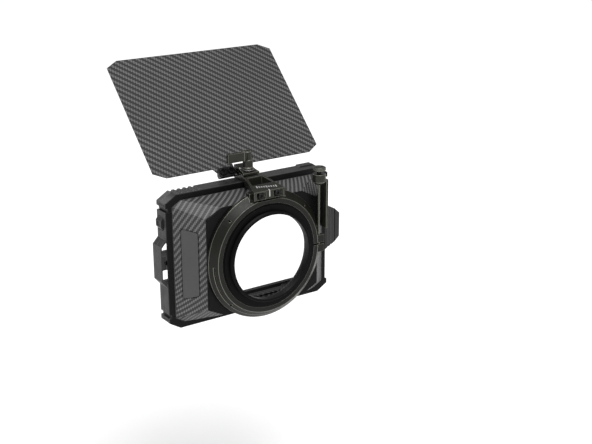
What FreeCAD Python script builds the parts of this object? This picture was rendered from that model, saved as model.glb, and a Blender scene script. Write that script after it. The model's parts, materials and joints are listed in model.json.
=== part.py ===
import FreeCAD, Part
import os
import Sketcher

# Clip-on lens hood (compact matte box): a filter frame with a tapered carbon hood behind it,
# clamped to the lens by a 95 mm ring, and a hinged top flag on a bracket arm.
# Millimetres. +Z up, +Y forward along the lens axis, +X to the right seen from behind.
# The origin is the centre of the lens seat: the shoulder of the adapter ring's lens thread.

PARTS_FOLDER = "parts"
SHEET_NAME = "Sizes"

# alias, value: every driving dimension of the hood
DRIVING_SIZES = (
    # stations along the lens axis
    ("ring_back", 1.2), ("ring_shoulder", 6.8), ("plate_back", 9.5), ("plate_front", 11.5),
    ("box_back", 31.0), ("trim_front", 32.2), ("seam", 40.7), ("box_front", 47.2),
    # filter frame
    ("box_width", 168.0), ("box_height", 121.5), ("corner_run", 10.5), ("corner_drop", 6.4),
    ("side_inset", 2.0), ("tip_height", 50.0),
    ("window_width", 138.0), ("window_height", 96.0), ("window_corner", 4.0),
    ("groove_pitch", 5.4), ("groove_depth", 1.0), ("groove_width", 2.6), ("groove_start", 48.0),
    # filter tray and the slot that it slides in
    ("tray_back", 33.8), ("tray_front", 42.4), ("tray_reach", 73.5), ("tray_height", 105.0),
    ("tray_left", 80.0), ("tongue_back", 37.2), ("tongue_front", 42.2), ("tongue_reach", 5.2),
    ("slot_gap", 0.25), ("filter_width", 143.5), ("filter_height", 101.6),
    ("filter_ledge", 2.2), ("filter_slack", 0.3),
    ("cap_height", 92.8), ("cap_gap", 0.25), ("handle_reach", 5.2), ("handle_half", 22.0),
    ("handle_back", 33.3), ("bail_wall", 1.7), ("web_low", -5.0), ("web_high", 8.0),
    ("finger_high", 15.2), ("finger_low", -14.0), ("finger_lean", 5.0), ("finger_right", -82.9),
    ("finger_end", -73.6),
    ("button_low", 29.8), ("button_high", 41.2), ("button_back", 36.4), ("button_front", 45.0),
    ("button_proud", 2.4), ("button_gap", 0.25), ("button_travel", 1.8),
    # tapered hood and its end plate
    ("hood_width", 156.0), ("hood_height", 111.2), ("hood_corner_run", 8.4), ("hood_corner_drop", 5.0),
    ("hood_wall", 1.6), ("plate_width", 114.0), ("plate_height", 98.4), ("plate_corner_run", 16.0),
    ("plate_corner_drop", 8.1), ("plate_bore", 46.0), ("flange_width", 138.0), ("flange_height", 97.0),
    ("label_long", 63.0), ("label_short", 57.5), ("label_width", 14.4), ("label_thick", 0.9),
    ("label_sink", 0.6), ("label_along", 14.4), ("label_gap", 0.45),
    # lens clamp ring and the adapter it grips
    ("clamp_bore", 47.5), ("rim_radius", 51.8), ("flange_radius", 58.3), ("lip_radius", 45.0),
    ("lip_back", 8.0), ("slit_back", 3.4), ("slit_front", 4.1), ("flex_back", 5.2),
    ("flex_front", 6.0), ("slit_step", 40.0), ("split_gap", 1.6),
    ("thread_radius", 41.0), ("thread_length", 3.5), ("light_bore", 38.5), ("adapter_gap", 0.1),
    ("collar_radius", 46.4), ("lug_reach", 59.0), ("lug_half", 8.0), ("lug_back", 1.4),
    # clamp screw and its guide
    ("screw_across", 54.2), ("screw_depth", 3.3), ("rod_radius", 1.25), ("rod_gap", 0.06),
    ("head_radius", 6.0), ("head_low", 67.6), ("head_high", 70.8), ("guide_high", 64.7),
    ("guide_low", 55.2), ("guide_half", 6.0), ("guide_round", 2.4), ("post_left", 59.2),
    ("post_right", 61.4), ("post_low", 14.0),
    # bracket arm over the top
    ("arm_back", 0.1), ("arm_back_low", 52.4), ("arm_back_high", 59.9), ("arm_half_back", 16.0),
    ("arm_half_front", 7.1), ("arm_taper_end", 33.0), ("arm_rise", 0.2537), ("boss_half", 18.0),
    ("boss_back", 4.0), ("boss_high", 58.4), ("arm_low", 58.6), ("arm_over_box", 61.3),
    ("ear_back", 28.5), ("ear_top", 68.6), ("ear_thick", 1.9), ("ear_gap", 1.2), ("step_back", 25.6),
    ("bracket_screw_across", 8.4), ("bracket_screw_high", 55.9),
    # flag hinge and the flag, measured from the hinge axis
    ("hinge_depth", 44.8), ("hinge_high", 65.7), ("flag_tilt", 45.0), ("spindle_radius", 2.5),
    ("hinge_gap", 0.05), ("knuckle_radius", 4.4), ("spindle_left", -7.6), ("spindle_right", 7.3),
    ("flag_width", 170.0), ("flag_height", 122.0), ("flag_thick", 1.0), ("flag_edge", 4.8),
    ("flag_offset", 3.4), ("flag_corner_run", 11.2), ("flag_corner_drop", 6.3),
    ("mount_left", -26.2), ("barrel_left", -23.4), ("barrel_radius", 3.1), ("strip_thick", 1.2),
    ("strip_high", 4.6), ("strip_low", -4.6), ("flag_screw_high", 0.5), ("flag_screw_head", 3.5),
    ("flag_notch", 3.4),
    # lock lever
    ("lever_depth", 34.4), ("lever_radius", 5.0), ("lever_low", 70.7), ("lever_high", 87.2),
    ("lever_reach", 20.8), ("lever_thick", 3.8), ("lever_under", 78.7), ("stud_radius", 2.0),
    ("insert_radius", 3.0),
    # right-hand grip
    ("grip_reach", 16.4), ("grip_half", 22.0), ("grip_depth", 13.6),
)


class Dim:
    """A length with its value now and the spreadsheet expression that drives it."""

    def __init__(self, value, text):
        self.value = float(value)
        self.text = text

    def _join(self, other, sign, value):
        return Dim(value, f"({self.text} {sign} {as_dim(other).text})")

    def __add__(self, other):
        return self._join(other, "+", self.value + as_dim(other).value)

    def __sub__(self, other):
        return self._join(other, "-", self.value - as_dim(other).value)

    def __mul__(self, other):
        return self._join(other, "*", self.value * as_dim(other).value)

    def __truediv__(self, other):
        return self._join(other, "/", self.value / as_dim(other).value)

    def __neg__(self):
        return Dim(-self.value, f"(0 - {self.text})")

    __radd__ = __add__

    def __rsub__(self, other):
        return as_dim(other) - self

    def __rmul__(self, other):
        return as_dim(other) * self


def as_dim(number):
    return number if isinstance(number, Dim) else Dim(number, f"{float(number):.6g}")


def make_sheet(document):
    """The spreadsheet of driving dimensions; returns each alias as a Dim."""
    sheet = document.addObject("Spreadsheet::Sheet", SHEET_NAME)
    dims = {}
    for row, (alias, value) in enumerate(DRIVING_SIZES, start=1):
        sheet.set(f"A{row}", alias)
        sheet.set(f"B{row}", f"{value:g}")
        sheet.setAlias(f"B{row}", alias)
        dims[alias] = Dim(value, f"{SHEET_NAME}.{alias}")
    document.recompute()
    return dims


DOC = FreeCAD.newDocument("LensHood")
D = make_sheet(DOC)
NODES = []


# ---------------------------------------------------------------- building blocks

def bind(item, prop, length):
    """Drives one property of an object from the spreadsheet."""
    item.setExpression(prop, as_dim(length).text)


def bind_place(item, at):
    for axis, length in zip("xyz", at):
        bind(item, f"Placement.Base.{axis}", length)


def block(low, high):
    """A box between two opposite corners."""
    item = DOC.addObject("Part::Box", "Block")
    for prop, start, end in zip(("Length", "Width", "Height"), low, high):
        bind(item, prop, as_dim(end) - start)
    bind_place(item, low)
    return item


AXIS_TURN = {
    "X": FreeCAD.Rotation(FreeCAD.Vector(0, 1, 0), 90),
    "Y": FreeCAD.Rotation(FreeCAD.Vector(1, 0, 0), -90),
    "Z": FreeCAD.Rotation(),
}


def rod(axis, radius, start, length):
    """A cylinder from a start point, along a row axis."""
    item = DOC.addObject("Part::Cylinder", "Rod")
    item.Placement = FreeCAD.Placement(FreeCAD.Vector(), AXIS_TURN[axis])
    bind(item, "Radius", radius)
    bind(item, "Height", length)
    bind_place(item, start)
    return item


def cone(low_radius, high_radius, start, length):
    """An upright cone's slice from a start point."""
    item = DOC.addObject("Part::Cone", "Cone")
    bind(item, "Radius1", low_radius)
    bind(item, "Radius2", high_radius)
    bind(item, "Height", length)
    bind_place(item, start)
    return item


def fuse(*items):
    joined = DOC.addObject("Part::MultiFuse", "Joined")
    joined.Shapes = list(items)
    return joined


def common(*items):
    shared = DOC.addObject("Part::MultiCommon", "Shared")
    shared.Shapes = list(items)
    return shared


def cut(base, *tools):
    """The base with every tool taken away."""
    result = DOC.addObject("Part::Cut", "Trimmed")
    result.Base = base
    result.Tool = tools[0] if len(tools) == 1 else fuse(*tools)
    return result


def group(items):
    """Separate solids that share a node."""
    together = DOC.addObject("Part::Compound", "Group")
    together.Links = list(items)
    return together


def node(name, item):
    """Names a finished piece and lists it for export."""
    item.Label = name
    NODES.append(item)
    return item


def plane_of(body, role):
    return next(plane for plane in body.Origin.OriginFeatures if plane.Role == role)


def pin_point(sketch, index, point):
    """Holds the start of one sketch line at a point driven by the spreadsheet."""
    for kind, length, axis in zip(("DistanceX", "DistanceY"), point, (-2, -1)):
        length = as_dim(length)
        if length.value == 0:
            sketch.addConstraint(Sketcher.Constraint("PointOnObject", index, 1, axis))
            continue
        number = sketch.addConstraint(Sketcher.Constraint(kind, -1, 1, index, 1, length.value))
        sketch.setExpression(f"Constraints[{number}]", length.text)


def outline(body, plane, points, offset=0):
    """A closed outline of straight edges on one of the body's own planes."""
    sketch = body.newObject("Sketcher::SketchObject", "Outline")
    sketch.AttachmentSupport = [(plane_of(body, plane), "")]
    sketch.MapMode = "FlatFace"
    bind(sketch, "AttachmentOffset.Base.z", offset)
    corners = [FreeCAD.Vector(as_dim(a).value, as_dim(b).value, 0) for a, b in points]
    for index, corner in enumerate(corners):
        following = corners[(index + 1) % len(corners)]
        sketch.addGeometry(Part.LineSegment(corner, following), False)
    for index in range(len(corners)):
        after = (index + 1) % len(corners)
        sketch.addConstraint(Sketcher.Constraint("Coincident", index, 2, after, 1))
    for index, point in enumerate(points):
        pin_point(sketch, index, point)
    return sketch


def padded(plane, points, start, end):
    """A body padded from an outline: along +Z on XY, +X on YZ, +Y on XZ."""
    body = DOC.addObject("PartDesign::Body", "Body")
    offset = -as_dim(end) if plane == "XZ_Plane" else as_dim(start)
    sketch = outline(body, plane, points, offset)
    pad = body.newObject("PartDesign::Pad", "Pad")
    pad.Profile = sketch
    bind(pad, "Length", as_dim(end) - start)
    return body


def turned(points):
    """A body turned about the lens axis from an outline of (radius, depth) points."""
    body = DOC.addObject("PartDesign::Body", "Body")
    sketch = outline(body, "XY_Plane", points)
    spin = body.newObject("PartDesign::Revolution", "Turned")
    spin.Profile = sketch
    spin.ReferenceAxis = (sketch, ["V_Axis"])
    spin.Angle = 360
    return body


def octagon(width, height, run, drop):
    """The corners of a rectangle with its four corners cut, about the lens axis."""
    half, high = as_dim(width) / 2, as_dim(height) / 2
    side, top = half - run, high - drop
    return [
        (side, high), (half, top), (half, -top), (side, -high),
        (-side, -high), (-half, -top), (-half, top), (-side, high),
    ]


def lofted(first, first_depth, second, second_depth):
    """A straight-sided body between two outlines across the lens axis."""
    body = DOC.addObject("PartDesign::Body", "Body")
    start = outline(body, "XZ_Plane", first, -as_dim(first_depth))
    finish = outline(body, "XZ_Plane", second, -as_dim(second_depth))
    loft = body.newObject("PartDesign::AdditiveLoft", "Loft")
    loft.Profile = start
    loft.Sections = [finish]
    loft.Ruled = True
    return body


def swing(item, angle, at, axis=FreeCAD.Vector(1, 0, 0)):
    """Turns a finished piece built about its own origin, then carries it to a point."""
    item.Placement = FreeCAD.Placement(FreeCAD.Vector(), FreeCAD.Rotation(axis, angle.value))
    bind(item, "Placement.Rotation.Angle", angle)
    bind_place(item, at)
    return item


def cap_screw(axis, sign, seat, head_radius, head_high, shank_radius, shank_long, socket=None):
    """A socket screw whose head stands on a seat point; sign +1 puts the head on the + side."""
    index = "XYZ".index(axis)
    head_start = list(seat)
    shank_start = list(seat)
    socket_start = list(seat)
    if sign > 0:
        shank_start[index] = as_dim(seat[index]) - shank_long
        socket_start[index] = as_dim(seat[index]) + as_dim(head_high) / 2
    else:
        head_start[index] = as_dim(seat[index]) - head_high
        socket_start[index] = head_start[index]
    head = rod(axis, head_radius, head_start, head_high)
    shank = rod(axis, shank_radius, shank_start, shank_long)
    socket_radius = as_dim(socket) if socket else as_dim(head_radius) / 2
    hollow = rod(axis, socket_radius, socket_start, as_dim(head_high) / 2)
    return cut(fuse(head, shank), hollow)


# ---------------------------------------------------------------- filter frame

HALF_BOX = D["box_width"] / 2
HALF_TALL = D["box_height"] / 2
BOX_OUTLINE = octagon(D["box_width"], D["box_height"], D["corner_run"], D["corner_drop"])
BAND_OUTLINE = octagon(D["hood_width"], D["hood_height"], D["hood_corner_run"], D["hood_corner_drop"])
WINDOW_OUTLINE = octagon(D["window_width"], D["window_height"], D["window_corner"], D["window_corner"])
SLOT_HIGH = D["tray_height"] / 2 + D["slot_gap"]
CAP_HIGH = D["cap_height"] / 2
FRAME_SCREW_SEATS = ((-62, 56.9), (0, 56.9), (62, 56.9), (-62, -56.9), (0, -56.9), (62, -56.9),
                     (78.2, 34), (78.2, -34))
HOOD_SCREW_SEATS = ((-48, 51), (48, 51), (-48, -51), (48, -51), (71, 20), (71, -20), (-71, 20), (-71, -20))
FRAME_SCREW_RADIUS = 1.25
FRAME_SCREW_HEAD = 2.2
GRIP_SCREW_RADIUS = 1.25
GRIP_SCREW_HEAD = 2.1
GRIP_SCREW_DEPTH = 37.2
GRIP_SCREW_HEIGHTS = (-16, 16)
HOOD_SCREW_TAP = 1.0
HEAD_SINK = 2.2
GROOVE_COUNT = 5


def side_cuts():
    """What both frame shells lose at their sides: the inset faces, tray slot and cap pocket."""
    past = HALF_BOX + 1
    inset = HALF_BOX - D["side_inset"]
    low, high = D["box_back"] - 1, D["box_front"] + 1
    cap = CAP_HIGH + D["cap_gap"]
    slot_back, slot_front = D["tray_back"] - D["slot_gap"], D["tray_front"] + D["slot_gap"]
    slot_end = D["tray_reach"] + D["slot_gap"]
    return [
        block((-past, low, -D["tip_height"]), (-inset, high, D["tip_height"])),
        block((inset, low, -D["tip_height"]), (past, high, D["tip_height"])),
        block((-past, low, -cap), (-D["tray_left"], high, cap)),
        block((-past, slot_back, -SLOT_HIGH), (slot_end, slot_front, SLOT_HIGH)),
    ]


def grip_grooves():
    """Grooves across the top left of both frame shells."""
    tools = []
    for number in range(GROOVE_COUNT):
        left = -(D["groove_start"] + D["groove_pitch"] * number)
        low = (left - D["groove_width"], D["trim_front"] + 1.2, HALF_TALL - D["groove_depth"])
        high = (left, D["box_front"] + 1, HALF_TALL + 1)
        tools.append(block(low, high))
    return tools


def screw_holes(radius, start, length):
    return [rod("Y", radius, (x, start, z), length) for x, z in FRAME_SCREW_SEATS]


def make_frames():
    back = D["box_back"]
    step = padded("XZ_Plane", BAND_OUTLINE, back, D["trim_front"])
    shell = padded("XZ_Plane", BOX_OUTLINE, D["trim_front"], D["seam"])
    window = padded("XZ_Plane", WINDOW_OUTLINE, back - 1, D["seam"] + 1)
    holes = screw_holes(FRAME_SCREW_RADIUS, D["seam"] - 6, 7)
    hood_holes = [rod("Y", HOOD_SCREW_TAP, (x, back - 1, z), 4) for x, z in HOOD_SCREW_SEATS]
    shell = cut(fuse(step, shell), window, *side_cuts(), *grip_grooves(), *holes, *hood_holes)
    grip_holes = [rod("X", GRIP_SCREW_RADIUS, (70, GRIP_SCREW_DEPTH, z), 20) for z in GRIP_SCREW_HEIGHTS]
    grip_wells = [rod("X", GRIP_SCREW_HEAD + 0.1, (70, GRIP_SCREW_DEPTH, z), 5.6) for z in GRIP_SCREW_HEIGHTS]
    node("rear_frame", cut(shell, *grip_holes, *grip_wells))
    raised = [(59.5, 60), (59.5, HALF_TALL + 1.1), (73.9, HALF_TALL + 1.1), (79.4, 58.3), (78.6, 57.2)]
    corner_pad = padded("XZ_Plane", raised, D["seam"], D["box_front"])
    front = fuse(padded("XZ_Plane", BOX_OUTLINE, D["seam"], D["box_front"]), corner_pad)
    window = padded("XZ_Plane", WINDOW_OUTLINE, D["seam"] - 1, D["box_front"] + 1)
    holes = screw_holes(FRAME_SCREW_RADIUS, D["seam"] - 1, 9)
    heads = screw_holes(FRAME_SCREW_HEAD + 0.1, D["box_front"] - HEAD_SINK, 4)
    node("front_frame", cut(front, window, *side_cuts(), *grip_grooves(), *holes, *heads,
                            *finger_openings()))
    screws = [cap_screw("Y", 1, (x, D["box_front"] - HEAD_SINK, z), FRAME_SCREW_HEAD, 1.8,
                        FRAME_SCREW_RADIUS - 0.04, 10) for x, z in FRAME_SCREW_SEATS]
    node("frame_screws", group(screws))


def make_rear_trim():
    """The black trim round the back of the frame, open at the left for the tray cap."""
    ring = padded("XZ_Plane", BOX_OUTLINE, D["box_back"], D["trim_front"])
    hole = padded("XZ_Plane", BAND_OUTLINE, D["box_back"] - 1, D["trim_front"] + 1)
    past = HALF_BOX + 1
    inset = HALF_BOX - D["side_inset"]
    low, high = D["box_back"] - 1, D["trim_front"] + 1
    cap = CAP_HIGH + D["cap_gap"]
    left = block((-past, low, -cap), (-D["hood_width"] / 2 + 1, high, cap))
    sides = [block((-past, low, -D["tip_height"]), (-inset, high, D["tip_height"])),
             block((inset, low, -D["tip_height"]), (past, high, D["tip_height"]))]
    node("rear_trim", cut(ring, hole, left, *sides))


# ---------------------------------------------------------------- hood, end plate and label

def hood_at(depth_from_plate, shrink):
    """The hood's outline at a distance in front of the end plate, less a wall on every side."""
    reach = as_dim(depth_from_plate) / (D["box_back"] - D["plate_front"])
    width = D["plate_width"] + (D["hood_width"] - D["plate_width"]) * reach - as_dim(shrink) * 2
    height = D["plate_height"] + (D["hood_height"] - D["plate_height"]) * reach - as_dim(shrink) * 2
    run = D["plate_corner_run"] + (D["hood_corner_run"] - D["plate_corner_run"]) * reach
    drop = D["plate_corner_drop"] + (D["hood_corner_drop"] - D["plate_corner_drop"]) * reach
    return octagon(width, height, run, drop)


def slope_place(item, along, lift):
    """Lays a flat piece on the hood's left slope: its X up the slope, its Z outwards."""
    rise = (D["hood_width"].value - D["plate_width"].value) / 2
    depth = D["box_back"].value - D["plate_front"].value
    length = (rise ** 2 + depth ** 2) ** 0.5
    up_slope = FreeCAD.Vector(-rise / length, depth / length, 0)
    outwards = FreeCAD.Vector(-depth / length, -rise / length, 0)
    upright = outwards.cross(up_slope)
    turn = FreeCAD.Rotation(up_slope, upright, outwards)
    start = FreeCAD.Vector(-D["plate_width"].value / 2, D["plate_front"].value, 0)
    item.Placement = FreeCAD.Placement(start + up_slope * along + outwards * lift, turn)
    return item


def label_outline(spare):
    """The label's tapering outline with cut corners, grown by a gap."""
    half = D["label_width"] / 2 + spare
    tall = D["label_long"] / 2 + spare
    short = D["label_short"] / 2 + spare
    nick = 1.2
    return [(half, tall - nick), (half - nick, tall), (-half + nick, short), (-half, short - nick),
            (-half, -short + nick), (-half + nick, -short), (half - nick, -tall), (half, nick - tall)]


def make_hood():
    depth = D["box_back"] - D["plate_front"]
    wall = D["hood_wall"]
    outer = lofted(hood_at(0, 0), D["plate_front"], hood_at(depth, 0), D["box_back"])
    hollow = lofted(hood_at(wall, wall), D["plate_front"] + wall,
                    hood_at(depth - wall, wall), D["box_back"] - wall)
    back_hole = rod("Y", D["plate_bore"], (0, D["plate_front"] - 1, 0), wall + 2)
    mouth = octagon(D["flange_width"], D["flange_height"], D["hood_corner_run"], D["hood_corner_drop"])
    front_hole = padded("XZ_Plane", mouth, D["box_back"] - wall - 1, D["box_back"] + 1)
    recess = padded("XY_Plane", label_outline(D["label_gap"]), -D["label_sink"], 3)
    slope_place(recess, D["label_along"].value, 0)
    holes = [rod("Y", HOOD_SCREW_TAP, (x, D["box_back"] - 4, z), 6) for x, z in HOOD_SCREW_SEATS]
    node("hood_shell", cut(outer, hollow, back_hole, front_hole, recess, *holes))
    label = padded("XY_Plane", label_outline(0), 0, D["label_thick"])
    node("nameplate", slope_place(label, D["label_along"].value, -D["label_sink"].value))
    seat = D["box_back"] - wall
    screws = [cap_screw("Y", -1, (x, seat, z), 1.7, 1.4, HOOD_SCREW_TAP - 0.02, 3.6)
              for x, z in HOOD_SCREW_SEATS]
    node("hood_screws", group(screws))


def make_end_plate():
    points = octagon(D["plate_width"], D["plate_height"], D["plate_corner_run"], D["plate_corner_drop"])
    plate = padded("XZ_Plane", points, D["plate_back"], D["plate_front"])
    bore = rod("Y", D["plate_bore"], (0, D["plate_back"] - 1, 0), 4)
    holes = [rod("Y", RING_SCREW_SHANK + 0.03, (x, D["plate_back"] - 1, z), 4) for x, z in RING_SCREW_SEATS]
    node("centre_plate", cut(plate, bore, *holes))


# ---------------------------------------------------------------- clamp ring and adapter

RING_SCREW_REACH = 38.4
RING_SCREW_HEAD = 0.95
RING_SCREW_SHANK = 0.62
BRACKET_SCREW_RADIUS = 1.24
BRACKET_SCREW_HEAD = 2.7
RING_SCREW_SEATS = tuple((x * RING_SCREW_REACH, z * RING_SCREW_REACH) for x in (-1, 1) for z in (-1, 1))


def half_slit(back, front, left, right):
    """A slit round the ring's lower half, kept between two stations across."""
    disc = DOC.addObject("Part::Cylinder", "FlexSlit")
    disc.Placement = FreeCAD.Placement(FreeCAD.Vector(), AXIS_TURN["Y"])
    bind(disc, "Radius", D["lug_reach"] + 5)
    bind(disc, "Height", front - back)
    disc.Angle = 180
    bind(disc, "Placement.Base.y", back)
    return common(disc, block((left, back - 1, -70), (right, front + 1, 0)))


def flex_slits():
    """The slit that frees the rear band: it steps forward near the lug, clear of the clamp screw."""
    step = D["slit_step"]
    main = half_slit(D["slit_back"], D["slit_front"], -70, step)
    under_lug = half_slit(D["flex_back"], D["flex_front"], step, 70)
    riser = block((step, D["slit_back"], -60), (step + 0.7, D["flex_front"], -15))
    return [main, under_lug, riser]


def make_clamp_ring():
    """The ring: a fixed front half, and a rear band that is slit free below and closed by a screw."""
    profile = [
        (D["clamp_bore"], D["ring_back"]), (D["rim_radius"], D["ring_back"]),
        (D["flange_radius"], D["ring_shoulder"]), (D["flange_radius"], D["plate_back"]),
        (D["lip_radius"], D["plate_back"]), (D["lip_radius"], D["lip_back"]),
        (D["clamp_bore"], D["lip_back"]),
    ]
    ring = turned(profile)
    lug = block((50, D["lug_back"], -D["lug_half"]), (D["lug_reach"], D["flex_back"], D["lug_half"]))
    boss = block((-D["boss_half"], D["boss_back"], 48.5), (D["boss_half"], D["plate_back"], D["boss_high"]))
    seat = block((-D["boss_half"], 0, 50.6), (D["boss_half"], D["boss_back"], 60))
    slits = flex_slits()
    split = block((45, 0, -D["split_gap"] / 2), (65, D["flex_front"], D["split_gap"] / 2))
    clear_bore = rod("Y", D["clamp_bore"], (0, 0, 0), D["lip_back"])
    through = rod("Z", D["rod_radius"] + D["rod_gap"], (D["screw_across"], D["screw_depth"], -12), 34)
    wells = [rod("Y", RING_SCREW_HEAD + 0.05, (x, 0, z), D["ring_shoulder"]) for x, z in RING_SCREW_SEATS]
    holes = [rod("Y", RING_SCREW_SHANK + 0.03, (x, 0, z), 12) for x, z in RING_SCREW_SEATS]
    bracket_across, bracket_high = D["bracket_screw_across"], D["bracket_screw_high"]
    taps = [rod("Y", BRACKET_SCREW_RADIUS + 0.01, (x * bracket_across, 0, bracket_high), 10) for x in (-1, 1)]
    body = cut(fuse(cut(ring, seat), boss, lug), *slits, split, clear_bore, through, *wells, *holes, *taps)
    node("clamp_ring", body)
    screws = [cap_screw("Y", -1, (x, D["ring_shoulder"], z), RING_SCREW_HEAD, 1.2, RING_SCREW_SHANK, 4.6)
              for x, z in RING_SCREW_SEATS]
    node("ring_screws", group(screws))


def make_adapter():
    outer = D["clamp_bore"] - D["adapter_gap"]
    profile = [
        (D["light_bore"], -D["thread_length"]), (D["thread_radius"], -D["thread_length"]),
        (D["thread_radius"], 0), (D["collar_radius"], 0), (D["collar_radius"], 0.8), (outer, 1.0),
        (outer, D["lip_back"]), (D["light_bore"] + 3, D["lip_back"]), (D["light_bore"], 2.5),
    ]
    node("adapter_ring", turned(profile))


def make_clamp_screw():
    across, depth = D["screw_across"], D["screw_depth"]
    head = rod("Z", D["head_radius"], (across, depth, D["head_low"]), D["head_high"] - D["head_low"])
    neck = rod("Z", 2.1, (across, depth, D["guide_high"] + 0.3), D["head_low"] - D["guide_high"])
    shaft = rod("Z", D["rod_radius"], (across, depth, -7.5), D["head_low"] + 7.5)
    slot = block((across - 7, depth - 0.8, D["head_high"] - 1.2), (across + 7, depth + 0.8, D["head_high"] + 1))
    node("clamp_screw", cut(fuse(head, neck, shaft), slot))


def make_screw_guide():
    """The round guide at the top of the clamp screw, on a post that stands on the hood's slope."""
    across, depth = D["screw_across"], D["screw_depth"]
    half, nick = D["guide_half"], D["guide_round"]
    barrel_low = D["guide_low"] + nick
    taper = cone(half - nick, half, (across, depth, D["guide_low"]), nick)
    head = fuse(taper, rod("Z", half, (across, depth, barrel_low), D["guide_high"] - barrel_low))
    slope = (D["hood_width"] - D["plate_width"]) / 2 / (D["box_back"] - D["plate_front"])
    foot_right = D["post_right"] + 4.6
    gap = 0.12
    meet = (D["post_left"] - D["plate_width"] / 2) / slope + D["plate_front"] - gap
    meet_far = (foot_right - D["plate_width"] / 2) / slope + D["plate_front"] - gap
    plan = [(D["post_left"], -0.9), (D["post_right"], -0.9), (D["post_right"], 12), (foot_right, 16.6),
            (foot_right, meet_far), (D["post_left"], meet)]
    post = padded("XY_Plane", plan, D["post_low"], D["guide_low"] + 4)
    clear = cut(post, padded("XZ_Plane", [(70, 57), (50, 57), (50, 42), (57, 42), (70, 42)], 9, 40))
    hole = rod("Z", D["rod_radius"] + D["rod_gap"], (across, depth, 50), 20)
    node("screw_guide", cut(fuse(head, clear), hole))


# ---------------------------------------------------------------- bracket arm

def arm_top(depth):
    """Height of the arm's sloping top at a depth."""
    return D["arm_back_high"] + (as_dim(depth) - D["arm_back"]) * D["arm_rise"]


def ear_top(depth):
    return D["ear_top"] + (as_dim(depth) - D["ear_back"]) * D["arm_rise"]


def make_bracket():
    nose = D["hinge_depth"] + 1.5
    ear_low_back = ear_top(D["ear_back"]) - D["ear_thick"] - D["ear_gap"]
    side = [
        (D["arm_back"], D["arm_back_low"]), (D["arm_back"], D["arm_back_high"]),
        (D["step_back"], arm_top(D["step_back"])), (D["step_back"] + 1.4, ear_low_back - 0.7),
        (D["ear_back"], ear_low_back), (D["ear_back"], ear_top(D["ear_back"])),
        (nose, ear_top(nose)), (nose, D["arm_over_box"] + 0.2), (D["box_back"] - 0.8, D["arm_over_box"]),
        (D["box_back"] - 5, D["arm_low"]), (D["boss_back"], D["arm_low"]),
        (D["boss_back"], D["arm_back_low"]),
    ]
    wide = D["arm_half_back"] + 1
    profile = padded("YZ_Plane", side, -wide, wide)
    plan = [
        (D["arm_half_back"], D["arm_back"] - 1), (D["arm_half_front"], D["arm_taper_end"]),
        (D["arm_half_front"], nose + 6), (-D["arm_half_front"], nose + 6),
        (-D["arm_half_front"], D["arm_taper_end"]), (-D["arm_half_back"], D["arm_back"] - 1),
    ]
    arm = common(profile, padded("XY_Plane", plan, 40, 90))
    hinge = (-D["arm_half_front"], D["hinge_depth"], D["hinge_high"])
    knuckle = rod("X", D["knuckle_radius"], hinge, D["arm_half_front"] * 2)
    window = padded("XY_Plane", [(10.6, 11.5), (7.2, 23.6), (-7.2, 23.6), (-10.6, 11.5)], 40, 90)
    slit_back, slit_front = D["ear_back"] - 4, D["hinge_depth"] - 2
    floor = [(slit_back, ear_top(slit_back) - D["ear_thick"] - D["ear_gap"]),
             (slit_front, ear_top(slit_front) - D["ear_thick"] - D["ear_gap"]),
             (slit_front, ear_top(slit_front) - D["ear_thick"]),
             (slit_back, ear_top(slit_back) - D["ear_thick"])]
    slit = padded("YZ_Plane", floor, -wide, wide)
    inlet = block((-wide, D["hinge_depth"] - 3, D["hinge_high"]), (wide, D["hinge_depth"] - 2, 71.2))
    bore = rod("X", D["spindle_radius"] + D["hinge_gap"], (-20, D["hinge_depth"], D["hinge_high"]), 40)
    stud_hole = rod("Z", D["stud_radius"] + 0.05, (0, D["lever_depth"], 50), 40)
    pad_space = rod("Z", D["lever_radius"] + 0.7, (0, D["lever_depth"], D["lever_low"] - 0.6), 5)
    heel = rod("Y", D["rim_radius"] + 0.3, (0, -1, 0), D["boss_back"] + 1)
    screws = [(x * D["bracket_screw_across"], D["bracket_screw_high"]) for x in (-1, 1)]
    holes = [rod("Y", BRACKET_SCREW_RADIUS + 0.06, (x, -1, z), 8) for x, z in screws]
    wells = [rod("Y", BRACKET_SCREW_HEAD + 0.05, (x, -1, z), D["arm_back"] + 3) for x, z in screws]
    pocket_low, pocket_high, pocket_near, pocket_far = 53.0, 58.9, 4.0, 13.6
    pocket_wide, pocket_end = pocket_far - pocket_near, D["arm_back"] + 2.0
    pockets = [block((left, -1, pocket_low), (left + pocket_wide, pocket_end, pocket_high))
               for left in (-pocket_far, pocket_near)]
    body = cut(fuse(arm, knuckle), window, slit, inlet, bore, stud_hole, pad_space, heel,
               *holes, *wells, *pockets)
    node("top_bracket", body)
    seats = [(x, D["arm_back"] + 2, z) for x, z in screws]
    bolts = [cap_screw("Y", -1, seat, BRACKET_SCREW_HEAD, 1.9, BRACKET_SCREW_RADIUS, 7, 1.3) for seat in seats]
    node("bracket_screws", group(bolts))


LEVER_INSERT_HIGH = 9.6
LEVER_SPRING_HIGH = 2.9
LEVER_SCREW_RADIUS = 1.2


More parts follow.
